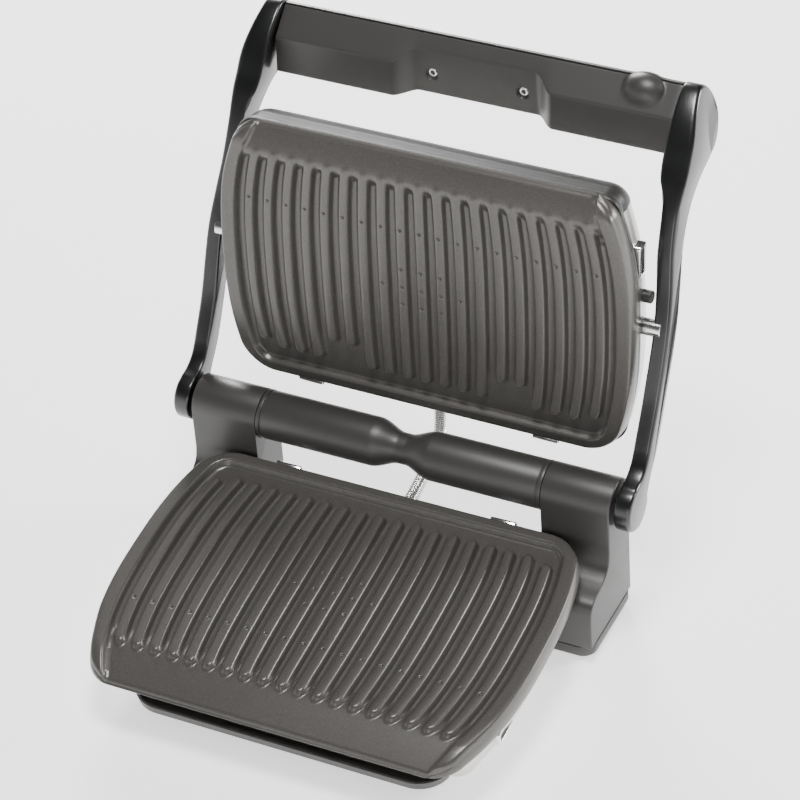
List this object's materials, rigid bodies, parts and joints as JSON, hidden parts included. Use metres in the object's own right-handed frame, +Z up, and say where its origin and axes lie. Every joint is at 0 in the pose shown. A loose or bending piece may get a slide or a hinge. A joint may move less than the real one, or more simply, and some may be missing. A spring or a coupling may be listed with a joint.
{
  "type": "contact grill",
  "caption": "Open contact grill for toasted sandwiches: ribbed lower deck, floating ribbed upper head on two bent arms, waisted hinge tube, bar handle, drip tray.",
  "frame": {"origin": "middle of the bounding box's underside, on the worktop", "axes": "+Z up, -Y towards the user at the front, +X to the user's right"},
  "size_m": [0.3636, 0.4094, 0.3612],
  "materials": {
    "nonstick": "speckled non-stick coating",
    "housing_plastic": "fine satin moulding",
    "arm_black": "black satin",
    "housing_steel": "brushed",
    "bright_steel": "polished",
    "dark_plastic": "satin",
    "foot_rubber": "matt",
    "element_sheath": "heat-darkened",
    "indicator_lens": "opal"
  },
  "bodies": {
    "base": {"base_pan": "housing_plastic", "lower_housing": "housing_steel", "tower_right": "housing_plastic", "tower_left": "housing_plastic", "hinge_tube": "housing_plastic", "foot_front_right": "foot_rubber", "foot_front_left": "foot_rubber", "foot_rear_right": "foot_rubber", "foot_rear_left": "foot_rubber", "lower_reflector": "housing_steel", "lower_element": "element_sheath", "lower_clip_right": "bright_steel", "lower_clip_left": "bright_steel", "lower_latch_frame": "bright_steel", "cord_inlet": "foot_rubber", "conduit": "bright_steel", "conduit_gland_base": "dark_plastic"},
    "lower_latch_body": {"lower_latch": "dark_plastic"},
    "tray": {"drip_tray": "housing_plastic", "tray_strip": "bright_steel"},
    "lower_plate_body": {"lower_plate": "nonstick"},
    "lid": {"arm_right": "arm_black", "arm_left": "arm_black", "shaft": "bright_steel", "handle_grip": "housing_plastic", "handle_cover": "housing_plastic", "grip_screw_right": "bright_steel", "grip_screw_left": "bright_steel", "indicator_ring": "bright_steel", "indicator_lens": "indicator_lens"},
    "power_key_body": {"key_power": "dark_plastic"},
    "start_key_body": {"key_start": "dark_plastic"},
    "head": {"upper_housing": "housing_steel", "upper_nose": "dark_plastic", "upper_frame": "dark_plastic", "upper_reflector": "housing_steel", "upper_element": "element_sheath", "pivot_pin_right": "bright_steel", "pivot_pin_left": "bright_steel", "stop_pin_right": "dark_plastic", "stop_pin_left": "dark_plastic", "upper_clip_right": "bright_steel", "upper_clip_left": "bright_steel", "upper_latch_frame": "bright_steel", "conduit_gland_head": "dark_plastic"},
    "upper_latch_body": {"upper_latch": "dark_plastic"},
    "upper_plate_body": {"upper_plate": "nonstick"}
  },
  "joints": [
    {"name": "lid_hinge", "type": "hinge", "parent": "base", "child": "lid", "pos_m": [0, 0.03373, 0.10725], "axis": [-1, 0, 0], "range_deg": [-126, 0], "deforming": ["conduit"]},
    {"name": "head_tilt", "type": "hinge", "parent": "lid", "child": "head", "pos_m": [0, 0.09696, 0.21799], "axis": [1, 0, 0], "range_deg": [-27, 1], "deforming": ["conduit"]},
    {"name": "lower_plate_lift", "type": "slide", "parent": "base", "child": "lower_plate_body", "axis": [0, -0.1288, 0.9917], "range_m": [0, 0.03]},
    {"name": "upper_plate_lift", "type": "slide", "parent": "head", "child": "upper_plate_body", "axis": [0, -0.999, 0.0454], "range_m": [0, 0.02]},
    {"name": "lower_latch_press", "type": "slide", "parent": "base", "child": "lower_latch_body", "axis": [-1, 0, 0], "range_m": [0, 0.0025], "stiffness_N_per_m": 900},
    {"name": "upper_latch_press", "type": "slide", "parent": "head", "child": "upper_latch_body", "axis": [-1, 0, 0], "range_m": [0, 0.0025], "stiffness_N_per_m": 900},
    {"name": "power_key_press", "type": "slide", "parent": "lid", "child": "power_key_body", "axis": [0, -1, 0], "range_m": [0, 0.0012], "stiffness_N_per_m": 900},
    {"name": "start_key_press", "type": "slide", "parent": "lid", "child": "start_key_body", "axis": [0, -1, 0], "range_m": [0, 0.0012], "stiffness_N_per_m": 900},
    {"name": "tray_pull", "type": "slide", "parent": "base", "child": "tray", "axis": [0, -1, 0], "range_m": [0, 0.08]}
  ],
  "couplings": [
    {"joint": "head_tilt", "follows": "lid_hinge", "ratio": 0.20635}
  ]
}
